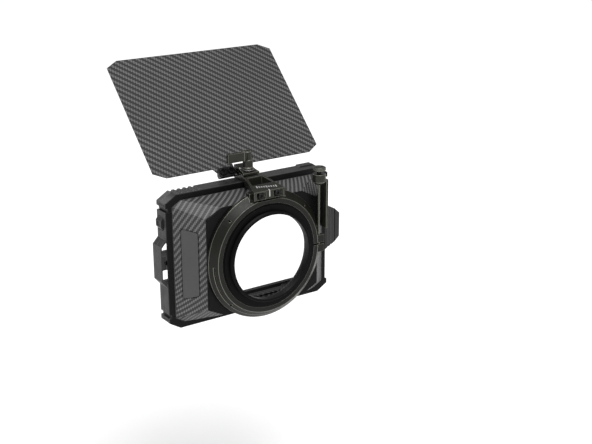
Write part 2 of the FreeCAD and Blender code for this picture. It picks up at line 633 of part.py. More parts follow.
def make_lever():
    axis = (0, D["lever_depth"])
    low = D["lever_low"]
    insert_top = low + LEVER_INSERT_HIGH
    hub = rod("Z", D["lever_radius"], (*axis, low), D["lever_high"] - low)
    half = D["lever_thick"] / 2
    plan = [(0, D["lever_depth"] + half), (-D["lever_reach"], D["lever_depth"] + half - 0.3),
            (-D["lever_reach"], D["lever_depth"] - half + 0.3), (0, D["lever_depth"] - half)]
    arm = padded("XY_Plane", plan, D["lever_under"], D["lever_high"])
    well = rod("Z", D["insert_radius"] + 0.04, (*axis, low - 1), insert_top - low + 1)
    spring_room = rod("Z", D["insert_radius"] + 0.04, (*axis, insert_top - 0.1), LEVER_SPRING_HIGH + 0.2)
    screw_hole = rod("Z", LEVER_SCREW_RADIUS + 0.1, (*axis, low), 20)
    head_room = rod("Z", 2.75, (*axis, D["lever_high"] - HEAD_SINK), 4)
    node("lock_lever", cut(fuse(hub, arm), well, spring_room, screw_hole, head_room))
    insert = rod("Z", D["insert_radius"], (*axis, low), insert_top - low)
    thread = rod("Z", D["stud_radius"], (*axis, D["arm_over_box"] + 0.4), low - D["arm_over_box"])
    tap = rod("Z", LEVER_SCREW_RADIUS, (*axis, insert_top - 7), 8)
    node("lever_stud", cut(fuse(insert, thread), tap))
    tube = rod("Z", 2.7, (*axis, insert_top), LEVER_SPRING_HIGH)
    node("lever_spring", cut(tube, rod("Z", 1.9, (*axis, insert_top - 1), 5)))
    seat = (*axis, D["lever_high"] - HEAD_SINK)
    node("lever_screw", cap_screw("Z", 1, seat, 2.65, 1.8, LEVER_SCREW_RADIUS, 10, 1.3))
    washer = rod("Z", D["lever_radius"] + 0.5, (*axis, low - 0.6), 0.5)
    node("lever_washer", cut(washer, rod("Z", D["stud_radius"] + 0.1, (*axis, low - 1), 2)))


# ---------------------------------------------------------------- flag

HINGE = (0, D["hinge_depth"], D["hinge_high"])
FLAG_SCREWS_ACROSS = (-21.3, -13.0)
FLAG_SCREW_RADIUS = 1.19
FLAG_SCREW_LONG = 7


def hang(item):
    """Places a piece built about the hinge axis at the flag's rest tilt."""
    return swing(item, D["flag_tilt"], HINGE)


def make_flag():
    half = D["flag_width"] / 2
    low, high = D["flag_edge"], D["flag_edge"] + D["flag_height"]
    run, drop = D["flag_corner_run"], D["flag_corner_drop"]
    tab_left, tab_right, notch_right = D["mount_left"] + 0.4, -8.2, 10
    points = [
        (-half, low + drop), (-half, high - drop), (run - half, high), (half - run, high),
        (half, high - drop), (half, low + drop), (half - run, low), (notch_right, low),
        (notch_right, low + D["flag_notch"]), (tab_right, low + D["flag_notch"]),
        (tab_right, 0 - D["knuckle_radius"]),
        (tab_left, 0 - D["knuckle_radius"]), (tab_left, low - 5), (tab_left - 3.1, low), (run - half, low),
    ]
    offset, thick = D["flag_offset"], D["flag_thick"]
    panel = padded("XY_Plane", points, offset, offset + thick)
    screw_high = D["flag_screw_high"]
    holes = [rod("Z", FLAG_SCREW_RADIUS + 0.11, (x, screw_high, 0), 12) for x in FLAG_SCREWS_ACROSS]
    node("flag_panel", hang(cut(panel, *holes)))
    barrel_left = D["barrel_left"]
    round_part = rod("X", D["barrel_radius"], (barrel_left, 0, 0), D["spindle_left"] - barrel_left)
    pad = block((barrel_left, -D["barrel_radius"], 0), (-8.6, D["barrel_radius"], offset))
    barrel = fuse(round_part, pad)
    spindle = rod("X", D["spindle_radius"], (D["spindle_left"] - 1, 0, 0),
                  D["spindle_right"] - D["spindle_left"] + 1)
    tap = rod("X", FLAG_SCREW_RADIUS + 0.01, (0.6, 0, 0), 10)
    taps = [rod("Z", FLAG_SCREW_RADIUS + 0.01, (x, screw_high, -2.0), 12) for x in FLAG_SCREWS_ACROSS]
    node("flag_hinge_mount", hang(cut(fuse(barrel, spindle), tap, *taps)))
    back = offset + thick
    bottom, top = D["strip_low"], D["strip_high"]
    left, right = D["mount_left"] - 0.2, -9.2
    nick = 2.2
    shape = [(left, bottom + nick), (left + nick, bottom), (right - nick, bottom), (right, bottom + nick),
             (right, top - nick), (right - nick, top), (left + nick, top), (left, top - nick)]
    strip = padded("XY_Plane", shape, back, back + D["strip_thick"])
    holes = [rod("Z", FLAG_SCREW_RADIUS + 0.11, (x, screw_high, 0), 12) for x in FLAG_SCREWS_ACROSS]
    node("flag_strip", hang(cut(strip, *holes)))
    seat = back + D["strip_thick"]
    head, shank, long = D["flag_screw_head"], FLAG_SCREW_RADIUS, FLAG_SCREW_LONG
    screws = [cap_screw("Z", 1, (x, screw_high, seat), head, 1.8, shank, long, 1.4) for x in FLAG_SCREWS_ACROSS]
    node("flag_screws", hang(group(screws)))
    washer_left = D["spindle_right"] + 0.02
    washer = cut(rod("X", 4.1, (washer_left, 0, 0), 0.8), rod("X", 1.3, (0, 0, 0), 20))
    node("spindle_washer", hang(washer))
    end = cap_screw("X", 1, (washer_left + 0.8, 0, 0), 3.0, 1.8, FLAG_SCREW_RADIUS, 6.6, 1.4)
    node("spindle_screw", hang(end))


# ---------------------------------------------------------------- filter tray

BUTTON_MID_Y = 39.2
BUTTON_MID_Z = (D["button_low"] + D["button_high"]) / 2
CAP_SCREW_RADIUS = 1.29
CAP_SCREW_OUT = 3.6
CAP_SCREW_HIGH = (D["web_low"] + D["web_high"]) / 2
CLIPS_ACROSS = (-44, 44)


def tray_end(side, out, near, far):
    """Fills the end of the tray slot above or below the cap, out to the frame's side."""
    low, high = (near, far) if side > 0 else (-far, -near)
    return block((-out, D["tray_back"], low), (-D["tray_left"] + 1, D["tray_front"], high))


def make_tray():
    """The tray: a frame with a ledge for the filter, and a bar at the left that carries the cap."""
    back, front = D["tray_back"], D["tray_front"]
    reach, high = D["tray_reach"], D["tray_height"] / 2
    plate = block((-D["tray_left"], back, -high), (reach, front, high))
    inset = HALF_BOX - D["side_inset"]
    steps = ((inset, CAP_HIGH + D["cap_gap"] * 2, high), (HALF_BOX - 0.1, D["tip_height"] + 0.2, high))
    ends = [tray_end(side, *step) for side in (-1, 1) for step in steps]
    pocket_x = D["filter_width"] / 2 + D["filter_slack"]
    pocket_z = D["filter_height"] / 2 + D["filter_slack"]
    pocket = block((-pocket_x, back + D["filter_ledge"], -pocket_z), (pocket_x, front + 1, pocket_z))
    window = padded("XZ_Plane", WINDOW_OUTLINE, back - 1, front + 1)
    tongue_low, tongue_high = D["web_low"] + 2, D["web_high"] - 2
    tongue = block((-D["tray_left"] - D["tongue_reach"], D["tongue_back"], tongue_low),
                   (-D["tray_left"] + 1, D["tongue_front"], tongue_high))
    hole = rod("Y", CAP_SCREW_RADIUS + 0.01, (-D["tray_left"] - CAP_SCREW_OUT, 30, CAP_SCREW_HIGH), 15)
    spring_well = rod("X", 2.3, (-D["tray_left"] - 1, BUTTON_MID_Y, BUTTON_MID_Z), 5.4)
    stem_well = block((-D["tray_left"] - 1, BUTTON_MID_Y - 2.9, BUTTON_MID_Z - 3.9),
                      (-D["tray_left"] + 2.4, BUTTON_MID_Y + 2.9, BUTTON_MID_Z + 3.9))
    node("filter_tray", cut(fuse(plate, tongue, *ends), pocket, window, hole, spring_well, stem_well,
                            *finger_openings()))
    clips = []
    for side in (-1, 1):
        for across in CLIPS_ACROSS:
            spring_z = pocket_z - 0.6 if side > 0 else -pocket_z
            base = block((across - 6, front - 2.2, spring_z), (across + 6, front, spring_z + 0.6))
            tab_z = pocket_z - 2.0 if side > 0 else -pocket_z + 0.6
            tab = block((across - 4, front - 0.8, tab_z), (across + 4, front, tab_z + 1.4))
            clips.append(fuse(base, tab))
    node("filter_clips", group(clips))


def cap_outline():
    """The end cap seen from behind, with the bail handle standing out of its side."""
    side, inner = -HALF_BOX, -D["tray_left"] - 0.05
    out = side - D["handle_reach"]
    half, facet = D["handle_half"], D["handle_half"] - 5.6
    return [
        (inner, CAP_HIGH), (side, CAP_HIGH), (side, half), (out, facet), (out, -facet + 1),
        (side, -half + 0.6), (side, -CAP_HIGH), (inner, -CAP_HIGH),
    ]


def finger_openings():
    """The two openings behind the handle; they lean inwards towards the front."""
    out = -HALF_BOX - D["handle_reach"] + D["bail_wall"]
    knee, end, lean = D["finger_right"], D["finger_end"], D["finger_lean"]
    behind, ahead = D["box_back"] - 1, D["box_front"] + 1
    upper = [(out, D["web_high"]), (end, D["web_high"]), (end, D["finger_high"] + lean),
             (knee, D["finger_high"] + lean), (out, D["finger_high"])]
    lower = [(out, D["web_low"]), (out, D["finger_low"]), (knee, D["finger_low"] - lean),
             (end, D["finger_low"] - lean), (end, D["web_low"])]
    plan = [(out, behind), (knee, behind), (knee, D["handle_back"] + 0.3), (end, D["box_front"]),
            (end, ahead), (out, ahead)]
    return [common(padded("XZ_Plane", side, behind, ahead), padded("XY_Plane", plan, -30, 30))
            for side in (upper, lower)]


def cap_tools():
    """What both halves of the cap lose: the finger openings, the tongue's socket and the button's pocket."""
    behind, ahead = D["box_back"] - 1, D["box_front"] + 1
    relief = block((-100, behind, -CAP_HIGH), (-HALF_BOX - 0.001, D["handle_back"], CAP_HIGH))
    gap = 0.1
    socket = block((-D["tray_left"] - D["tongue_reach"] - gap, D["tongue_back"] - gap, D["web_low"] + 2 - gap),
                   (-D["tray_left"] + 1, D["tongue_front"] + gap, D["web_high"] - 2 + gap))
    well = D["button_gap"]
    pocket = block((-100, D["button_back"] - well, D["button_low"] - well),
                   (-70, D["button_front"] + well, D["button_high"] + well))
    screw_across = -D["tray_left"] - CAP_SCREW_OUT
    hole = rod("Y", CAP_SCREW_RADIUS + 0.01, (screw_across, 30, CAP_SCREW_HIGH), 14.6)
    head = rod("Y", 2.3, (screw_across, 30, CAP_SCREW_HIGH), 4.6)
    return [*finger_openings(), relief, socket, pocket, hole, head]


def make_cap():
    trim = D["trim_front"]
    node("tray_cap_rear", cut(padded("XZ_Plane", cap_outline(), trim, D["seam"]), *cap_tools()))
    node("tray_cap_front", cut(padded("XZ_Plane", cap_outline(), D["seam"], D["box_front"]), *cap_tools()))
    strip = block((-HALF_BOX, D["box_back"], -CAP_HIGH), (-D["hood_width"] / 2 - 0.25, trim, CAP_HIGH))
    node("tray_cap_trim", strip)
    seat = (-D["tray_left"] - CAP_SCREW_OUT, 34.6, CAP_SCREW_HIGH)
    node("cap_screw", cap_screw("Y", -1, seat, 2.25, 1.6, CAP_SCREW_RADIUS, 9.6, 1.2))


def make_latch():
    """The push button in the cap and the spring behind it."""
    low, high = D["button_low"], D["button_high"]
    out = -HALF_BOX - D["button_proud"]
    inner = -D["tray_left"] - D["button_travel"] - 0.5
    face = [(inner, low), (inner, high), (-HALF_BOX, high), (out, high - 3), (out, low + 3), (-HALF_BOX, low)]
    cap = padded("XZ_Plane", face, D["button_back"], D["button_front"])
    stem = block((inner - 1, BUTTON_MID_Y - 2.6, BUTTON_MID_Z - 3.6),
                 (-D["tray_left"] + 0.4, BUTTON_MID_Y + 2.6, BUTTON_MID_Z + 3.6))
    node("latch_button", fuse(cap, stem))
    spring_left = -D["tray_left"] + 0.4
    spring = cut(rod("X", 2.0, (spring_left, BUTTON_MID_Y, BUTTON_MID_Z), 4),
                 rod("X", 1.3, (spring_left - 1, BUTTON_MID_Y, BUTTON_MID_Z), 8))
    node("latch_spring", spring)


# ---------------------------------------------------------------- right-hand grip

GRIP_GROOVES_ACROSS = (3, 6.3, 9.6)


def make_grip():
    inner = HALF_BOX - D["side_inset"] + 0.05
    out = HALF_BOX + D["grip_reach"]
    half = D["grip_half"]
    shape = [(inner, half), (HALF_BOX, half), (out - 5.6, half - 5.4), (out, half - 10.4),
             (out, -half + 10.4), (out - 5.6, -half + 5.4), (HALF_BOX, -half), (inner, -half)]
    back = D["box_front"] - D["grip_depth"]
    body = padded("XZ_Plane", shape, back, D["box_front"])
    grooves = [block((HALF_BOX + x, back - 1, -half), (HALF_BOX + x + 1, back + 0.8, half))
               for x in GRIP_GROOVES_ACROSS]
    holes = [rod("X", GRIP_SCREW_RADIUS, (74, GRIP_SCREW_DEPTH, z), 18) for z in GRIP_SCREW_HEIGHTS]
    node("side_grip", cut(body, *grooves, *holes))
    screws = [cap_screw("X", -1, (75.6, GRIP_SCREW_DEPTH, z), GRIP_SCREW_HEAD, 1.7, GRIP_SCREW_RADIUS, 14)
              for z in GRIP_SCREW_HEIGHTS]
    node("grip_screws", group(screws))


# ---------------------------------------------------------------- build, check and write

def check(document):
    """Stops if any object failed or any piece is empty or invalid."""
    for item in document.Objects:
        if "Invalid" in item.State or "Error" in item.State:
            raise RuntimeError(f"{item.Label} did not recompute: {item.State}")
    for item in NODES:
        if item.Shape.isNull() or not item.Shape.isValid() or not item.Shape.Solids:
            raise RuntimeError(f"{item.Label} has no valid solid")


def build():
    make_frames()
    make_rear_trim()
    make_hood()
    make_end_plate()
    make_clamp_ring()
    make_adapter()
    make_clamp_screw()
    make_screw_guide()
    make_bracket()
    make_lever()
    make_flag()
    make_tray()
    make_cap()
    make_latch()
    make_grip()
    DOC.recompute()
    check(DOC)
    os.makedirs(PARTS_FOLDER, exist_ok=True)
    for item in NODES:
        item.Shape.exportStep(os.path.join(PARTS_FOLDER, f"{item.Label}.step"))
        print(f"{item.Label}: {len(item.Shape.Solids)} solids, {item.Shape.Volume:.0f} mm3")


build()
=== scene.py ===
import json
import math

import bmesh
import bpy
from mathutils import Matrix, Vector


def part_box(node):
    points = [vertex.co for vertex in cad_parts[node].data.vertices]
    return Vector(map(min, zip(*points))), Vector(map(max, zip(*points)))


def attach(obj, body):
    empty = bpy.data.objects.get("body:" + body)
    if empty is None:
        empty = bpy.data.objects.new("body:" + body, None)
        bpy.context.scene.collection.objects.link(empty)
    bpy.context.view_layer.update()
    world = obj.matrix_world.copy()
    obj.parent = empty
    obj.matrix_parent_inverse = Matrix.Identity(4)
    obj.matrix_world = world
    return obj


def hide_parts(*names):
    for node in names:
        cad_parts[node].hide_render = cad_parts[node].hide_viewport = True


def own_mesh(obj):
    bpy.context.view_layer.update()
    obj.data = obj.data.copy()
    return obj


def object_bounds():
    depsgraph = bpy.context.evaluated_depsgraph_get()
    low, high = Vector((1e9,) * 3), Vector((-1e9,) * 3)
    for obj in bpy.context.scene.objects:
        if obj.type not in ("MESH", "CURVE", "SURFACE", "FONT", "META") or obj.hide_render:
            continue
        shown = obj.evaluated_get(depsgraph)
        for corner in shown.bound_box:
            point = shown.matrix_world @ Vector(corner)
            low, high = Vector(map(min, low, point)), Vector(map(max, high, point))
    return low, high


# Clip-on lens hood: a filter frame, a tapered carbon hood, a clamp ring for the lens and a
# hinged top flag. Sizes in this script are millimetres; MM turns them into Blender's metres.
# +Z up, +Y forward along the lens axis, +X to the right seen from behind.

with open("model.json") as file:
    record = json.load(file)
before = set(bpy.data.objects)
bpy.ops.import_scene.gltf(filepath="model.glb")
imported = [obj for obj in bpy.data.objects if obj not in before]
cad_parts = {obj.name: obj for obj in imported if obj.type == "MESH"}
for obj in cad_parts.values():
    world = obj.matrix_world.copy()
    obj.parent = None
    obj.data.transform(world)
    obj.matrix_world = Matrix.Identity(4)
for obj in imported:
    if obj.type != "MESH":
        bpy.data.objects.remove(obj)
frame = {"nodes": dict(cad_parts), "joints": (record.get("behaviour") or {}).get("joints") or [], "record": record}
CAD_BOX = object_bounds()
MM = 0.001

RECORD = frame["record"]
BODY_OF = {n: body for body, nodes in RECORD["behaviour"]["bodies"].items() for n in nodes}
SLOT_OF = {part["node"]: part["material_slot"] for part in RECORD["subparts"]}
JOINTS = {joint["name"]: joint for joint in frame["joints"]}


def box_mm(node):
    """Lowest and highest corner of a CAD node at rest, in millimetres."""
    low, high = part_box(node)
    return Vector(low) / MM, Vector(high) / MM


def middle(node):
    low, high = box_mm(node)
    return (low + high) / 2


# ---------------------------------------------------------------- node-graph helper

class Graph:
    """Builds a material's node graph from short calls."""

    def __init__(self, name):
        self.material = bpy.data.materials.new(name)
        self.material.use_nodes = True
        self.tree = self.material.node_tree
        self.shader = self.tree.nodes["Principled BSDF"]

    def add(self, kind, inputs=None, **settings):
        made = self.tree.nodes.new(kind)
        for key, value in settings.items():
            setattr(made, key, value)
        for key, value in (inputs or {}).items():
            self.feed(made.inputs[key], value)
        return made

    def feed(self, socket, value):
        if isinstance(value, bpy.types.NodeSocket):
            self.tree.links.new(value, socket)
        else:
            socket.default_value = value

    def math(self, operation, a, b=0.0, c=0.0):
        made = self.add("ShaderNodeMath", operation=operation)
        for socket, value in zip(made.inputs, (a, b, c)):
            self.feed(socket, value)
        return made.outputs[0]

    def mix(self, factor, a, b):
        """A colour between two colours."""
        made = self.add("ShaderNodeMix", data_type="RGBA")
        self.feed(made.inputs["Factor"], factor)
        self.feed(made.inputs[6], a)
        self.feed(made.inputs[7], b)
        return made.outputs[2]

    def blend(self, factor, a, b):
        """A number between two numbers."""
        made = self.add("ShaderNodeMix", data_type="FLOAT")
        self.feed(made.inputs["Factor"], factor)
        self.feed(made.inputs[2], a)
        self.feed(made.inputs[3], b)
        return made.outputs[0]

    def place(self):
        """The surface point in millimetres, in the piece's own rest frame."""
        coordinate = self.add("ShaderNodeTexCoord")
        scaled = self.add("ShaderNodeVectorMath", operation="SCALE")
        self.feed(scaled.inputs[0], coordinate.outputs["Object"])
        scaled.inputs["Scale"].default_value = 1 / MM
        return scaled.outputs[0]

    def parts(self, vector):
        made = self.add("ShaderNodeSeparateXYZ", {0: vector})
        return made.outputs[0], made.outputs[1], made.outputs[2]

    def noise(self, place, scale, detail=3.0, rough=0.55, stretch=(1, 1, 1)):
        mapped = self.add("ShaderNodeMapping", {"Vector": place, "Scale": stretch})
        made = self.add("ShaderNodeTexNoise", {"Vector": mapped.outputs[0], "Scale": scale,
                                               "Detail": detail, "Roughness": rough})
        return made.outputs["Fac"]

    def ramp(self, value, low, high, to_low=0.0, to_high=1.0):
        made = self.add("ShaderNodeMapRange", {"Value": value, "From Min": low, "From Max": high,
                                               "To Min": to_low, "To Max": to_high})
        return made.outputs[0]

    def bump(self, height, distance, strength=1.0, normal=None):
        made = self.add("ShaderNodeBump", {"Height": height, "Distance": distance * MM,
                                           "Strength": strength})
        if normal is not None:
            self.feed(made.inputs["Normal"], normal)
        return made.outputs[0]

    def finish(self, color, rough, normal=None, **fixed):
        self.feed(self.shader.inputs["Base Color"], color)
        self.feed(self.shader.inputs["Roughness"], rough)
        if normal is not None:
            self.feed(self.shader.inputs["Normal"], normal)
        for key, value in fixed.items():
            self.shader.inputs[key.replace("_", " ")].default_value = value
        return self.material


def grey(level, warmth=0.0):
    """A near-grey colour, a little warmer in red and green for a positive warmth."""
    return (level * (1 + warmth), level * (1 + warmth * 0.8), level * (1 - warmth * 1.6), 1.0)


# ---------------------------------------------------------------- materials

def moulded(name, level, rough, grain=0.05, warmth=0.0, gloss=0.3):
    """Satin moulded plastic: a fine spark-eroded grain and a faint flow tone."""
    g = Graph(name)
    place = g.place()
    grain_height = g.noise(place, 1.9, 2.0, 0.6)
    pores = g.noise(place, 4.6, 1.0, 0.5)
    tone = g.noise(place, 0.035, 3.0, 0.5)
    color = g.mix(tone, grey(level * 0.88, warmth), grey(level * 1.12, warmth))
    roughness = g.ramp(g.noise(place, 0.12, 3.0), 0.3, 0.7, rough - 0.05, rough + 0.06)
    height = g.math("ADD", grain_height, g.math("MULTIPLY", pores, 0.5))
    return g.finish(color, roughness, g.bump(height, grain, 0.55), Specular_IOR_Level=gloss)


def anodised(name, level, rough, warmth=0.0, grain=0.02, turned=False, metal=0.55, sheen=0.35):
    """Bead-blasted anodised aluminium, with fine tool rings where it was turned."""
    g = Graph(name)
    place = g.place()
    blast = g.noise(place, 3.4, 2.0, 0.7)
    tone = g.noise(place, 0.05, 3.0, 0.5)
    color = g.mix(tone, grey(level * 0.88, warmth), grey(level * 1.12, warmth))
    height = blast
    if turned:
        x, y, z = g.parts(place)
        radius = g.math("SQRT", g.math("ADD", g.math("MULTIPLY", x, x), g.math("MULTIPLY", z, z)))
        rings = g.math("SINE", g.math("MULTIPLY", g.math("ADD", radius, y), 9.0))
        height = g.math("ADD", blast, g.math("MULTIPLY", rings, 0.35))
    roughness = g.ramp(g.noise(place, 0.2, 4.0), 0.3, 0.7, rough - 0.05, rough + 0.07)
    return g.finish(color, roughness, g.bump(height, grain, 0.5), Metallic=metal,
                    Specular_IOR_Level=sheen)


def bare_steel(name, level, rough):
    """Ground steel with fine scratches that run round or along the piece."""
    g = Graph(name)
    place = g.place()
    scratch = g.noise(place, 1.6, 4.0, 0.7, (1, 1, 9))
    color = g.mix(scratch, grey(level * 0.8), grey(level * 1.15, 0.02))
    roughness = g.ramp(scratch, 0.3, 0.7, rough - 0.06, rough + 0.08)
    return g.finish(color, roughness, g.bump(scratch, 0.01, 0.5), Metallic=1.0)


def paint_mark(name, level):
    """Screen-printed ink, slightly thin in places."""
    g = Graph(name)
    patchy = g.noise(g.place(), 2.2, 3.0, 0.6)
    color = g.mix(patchy, grey(level * 0.86, 0.01), grey(level, 0.0))
    return g.finish(color, g.ramp(patchy, 0.3, 0.7, 0.5, 0.6), g.bump(patchy, 0.01, 0.3))


def twill(name, where, dark, light, rough):
    """A 2/2 carbon twill. where(graph) gives the yarn counts across and along the cloth."""
    g = Graph(name)
    u, v = where(g)
    column, row = g.math("FLOOR", u), g.math("FLOOR", v)
    across_u, across_v = g.math("FRACT", u), g.math("FRACT", v)
    step = g.math("FLOORED_MODULO", g.math("SUBTRACT", column, row), 4.0)
    warp_on_top = g.math("LESS_THAN", step, 1.5)

    def hump(value, power):
        centred = g.math("ABSOLUTE", g.math("SUBTRACT", g.math("MULTIPLY", value, 2.0), 1.0))
        return g.math("SUBTRACT", 1.0, g.math("POWER", centred, power))

    warp_run = g.math("MULTIPLY", g.math("ADD", g.math("SUBTRACT", 1.0, step), across_v), 0.5)
    weft_run = g.math("MULTIPLY", g.math("ADD", g.math("SUBTRACT", step, 2.0), across_u), 0.5)
    warp_height = g.math("MULTIPLY", hump(across_u, 2.0), hump(warp_run, 4.0))
    weft_height = g.math("MULTIPLY", hump(across_v, 2.0), hump(weft_run, 4.0))
    height = g.blend(warp_on_top, weft_height, warp_height)
    place = g.place()
    fibre = g.noise(place, 3.0, 3.0, 0.6, (2.5, 2.5, 0.4))
    cloud = g.noise(place, 0.02, 2.0, 0.5)
    yarn = g.mix(warp_on_top, dark, light)
    # painted shade: the yarn colour is darkened towards the hollows between yarns, where the weave is low and
    # shade falls
    shade = g.mix(0.8, yarn, grey(0.012))
    yarn_painted_dark_in_hollows = g.mix(g.ramp(height, 0.0, 0.75), shade, yarn)
    streaked = g.mix(g.ramp(fibre, 0.35, 0.75, 0.0, 0.12), yarn_painted_dark_in_hollows, grey(light[0] * 1.25))
    color = g.mix(g.ramp(cloud, 0.35, 0.65, 0.0, 0.14), streaked, grey(dark[0] * 0.7))
    normal = g.bump(height, 0.12, 0.55)
    roughness = g.ramp(height, 0.0, 1.0, rough + 0.12, rough)
    return g.finish(color, roughness, normal, Coat_Weight=0.04, Coat_Roughness=0.3,
                    Specular_IOR_Level=0.25)


# Four yarns make one repeat of the twill. These are repeats per millimetre on the hood's facets
# (SIDE, CORNER, TOP), and how much each facet's cloth is pulled, curved, sheared or spread.
REPEAT = 4
SIDE_ACROSS, SIDE_PULL = 0.278, 0.0021
SIDE_UP, SIDE_CURVE = 0.170, 0.00028
CORNER_ACROSS, CORNER_RISE, CORNER_SHEAR = 0.251, 0.060, 0.024
CORNER_UP, CORNER_DOWN = 0.198, 0.195
TOP_ACROSS, TOP_CURVE = 0.186, 0.0005
TOP_FORWARD, TOP_SPREAD = 0.178, 0.0008
# the cut corners of the centre plate and of the hood's rim
PLATE_CORNER = Vector((16.0, 8.1))
RIM_CORNER = Vector((8.4, 5.0))
# the width of one yarn on the flag
FLAG_YARN_ACROSS = 1.90
FLAG_YARN_ALONG = 1.64


def hood_cloth(g):
    """Yarn counts on the hood: each facet's cloth is stretched its own way and meets its neighbours."""
    x, y, z = g.parts(g.place())
    plate_high = box_mm("centre_plate")[1]
    hood_high = box_mm("hood_shell")[1]
    half, tall = plate_high.x, plate_high.z
    knee_up, knee_in = tall - PLATE_CORNER.y, half - PLATE_CORNER.x
    side_slope = (hood_high.z - RIM_CORNER.y - knee_up) / (hood_high.x - half)
    top_slope = (hood_high.z - tall) / (hood_high.x - RIM_CORNER.x - knee_in)
    across, upright = g.math("ABSOLUTE", x), g.math("ABSOLUTE", z)
    side_sign, end_sign = g.math("SIGN", x), g.math("SIGN", z)
    out = g.math("SUBTRACT", across, half)
    over = g.math("SUBTRACT", upright, knee_up)
    below = g.math("MINIMUM", z, 0.0)
    side_u = g.math("MULTIPLY", out, g.math("MULTIPLY_ADD", below, SIDE_PULL, SIDE_ACROSS))
    side_v = g.math("MULTIPLY", z, g.math("MULTIPLY_ADD", z, -SIDE_CURVE, SIDE_UP))
    corner_u = g.math("ADD", g.math("MULTIPLY", out, CORNER_ACROSS), g.math("MULTIPLY", over, CORNER_RISE))
    lean = g.math("MULTIPLY", out, -CORNER_SHEAR)
    knee_v = knee_up * (SIDE_UP - SIDE_CURVE * knee_up)
    rising = g.math("ADD", lean, g.math("MULTIPLY_ADD", over, CORNER_UP, knee_v))
    falling = g.math("MULTIPLY_ADD", over, CORNER_DOWN, knee_up * (SIDE_UP + SIDE_CURVE * knee_up))
    is_above = g.math("GREATER_THAN", z, 0.0)
    corner_v = g.math("MULTIPLY", end_sign, g.blend(is_above, falling, rising))
    on_corner = g.math("GREATER_THAN", over, g.math("MULTIPLY", out, side_slope))
    sides_u = g.math("MULTIPLY", side_sign, g.blend(on_corner, side_u, corner_u))
    sides_v = g.blend(on_corner, side_v, corner_v)
    crease_u = CORNER_ACROSS * PLATE_CORNER.x - CORNER_RISE * PLATE_CORNER.y
    crease_v = knee_v + CORNER_SHEAR * PLATE_CORNER.x + CORNER_UP * PLATE_CORNER.y
    top_start = crease_u + knee_in * (TOP_ACROSS - TOP_CURVE * knee_in)
    top_end = top_start + knee_in * (TOP_ACROSS + TOP_CURVE * knee_in)
    top_u = g.math("MULTIPLY_ADD", x, g.math("MULTIPLY_ADD", x, TOP_CURVE, TOP_ACROSS), top_start)
    forward = g.math("SUBTRACT", y, plate_high.y)
    top_pull = g.math("MULTIPLY_ADD", x, -TOP_SPREAD, TOP_FORWARD)
    top_v = g.math("MULTIPLY", end_sign, g.math("MULTIPLY_ADD", forward, top_pull, crease_v))
    rise = g.math("MULTIPLY", g.math("SUBTRACT", across, knee_in), top_slope)
    on_top = g.math("GREATER_THAN", g.math("SUBTRACT", upright, tall), rise)
    meet_right = g.math("MULTIPLY", g.math("GREATER_THAN", x, 0.0), top_end + crease_u)
    u = g.blend(on_top, g.math("ADD", sides_u, meet_right), top_u)
    v = g.blend(on_top, sides_v, top_v)
    return g.math("MULTIPLY", u, REPEAT), g.math("MULTIPLY", v, REPEAT)


def flag_cloth(g):
    """Yarn counts on the flag, measured in the panel's own plane from the hinge axis."""
    x, y, z = g.parts(g.place())
    hinge = Vector(JOINTS["flag_tilt"]["pos_m"]) / MM
    ahead = g.math("SUBTRACT", y, hinge.y)
    above = g.math("SUBTRACT", z, hinge.z)
    up_panel = g.math("MULTIPLY", g.math("ADD", ahead, above), math.sqrt(0.5))
    return g.math("DIVIDE", x, FLAG_YARN_ACROSS), g.math("DIVIDE", up_panel, -FLAG_YARN_ALONG)


MATERIALS = {
    "charcoal_plastic": moulded("CharcoalPlastic", 0.019, 0.42, gloss=0.28),
    # the lighter copies made for edges go on the rounded bevel faces: painted highlights along the edges, partly
    # also standing for rubbed edge wear
    "charcoal_edge_highlight": moulded("CharcoalEdgeHighlight", 0.055, 0.36),
    "black_trim": moulded("BlackTrim", 0.004, 0.5, gloss=0.12),
    "black_edge_highlight": moulded("BlackEdgeHighlight", 0.012, 0.4, gloss=0.2),
    "grey_plate": moulded("GreyPlate", 0.060, 0.5, grain=0.03),
    "black_plate": moulded("BlackPlate", 0.004, 0.46, grain=0.03, gloss=0.1),
    "tray_plastic": moulded("TrayPlastic", 0.017, 0.5),
    "gunmetal": anodised("Gunmetal", 0.027, 0.34, 0.08),
    "gunmetal_edge_highlight": anodised("GunmetalEdgeHighlight", 0.19, 0.30, 0.05, metal=0.7),
    "gunmetal_turned": anodised("GunmetalTurned", 0.009, 0.36, 0.10, turned=True, metal=0.3, sheen=0.26),
    "black_anodised": anodised("BlackAnodised", 0.008, 0.34, 0.0, metal=0.2),
    "adapter_black": anodised("AdapterBlack", 0.0015, 0.46, 0.0, turned=True, metal=0.0, sheen=0.08),
    "black_steel": anodised("BlackSteel", 0.010, 0.30, 0.0),
    "steel": bare_steel("BareSteel", 0.48, 0.30),
    "white_ink": paint_mark("WhiteInk", 0.72),
    "hood_weave": twill("HoodWeave", hood_cloth, grey(0.026), grey(0.150), 0.42),
    "flag_weave": twill("FlagWeave", flag_cloth, grey(0.018), grey(0.128), 0.42),
}


# ---------------------------------------------------------------- mesh helpers

SHARP_ANGLE = math.radians(32)
FLAT = math.cos(math.radians(0.4))
WELD = 0.002
SMALL_THREAD = 5


def flat_patches(bm):
    """Sets of neighbouring faces that lie in one plane."""
    waiting = set(bm.faces)
    patches = []
    while waiting:
        seed = waiting.pop()
        patch, edge = [seed], [seed]
        while edge:
            for side in edge.pop().edges:
                for other in side.link_faces:
                    if other in waiting and other.normal.dot(seed.normal) > FLAT:
                        waiting.remove(other)
                        patch.append(other)
                        edge.append(other)
        patches.append(patch)
    return patches


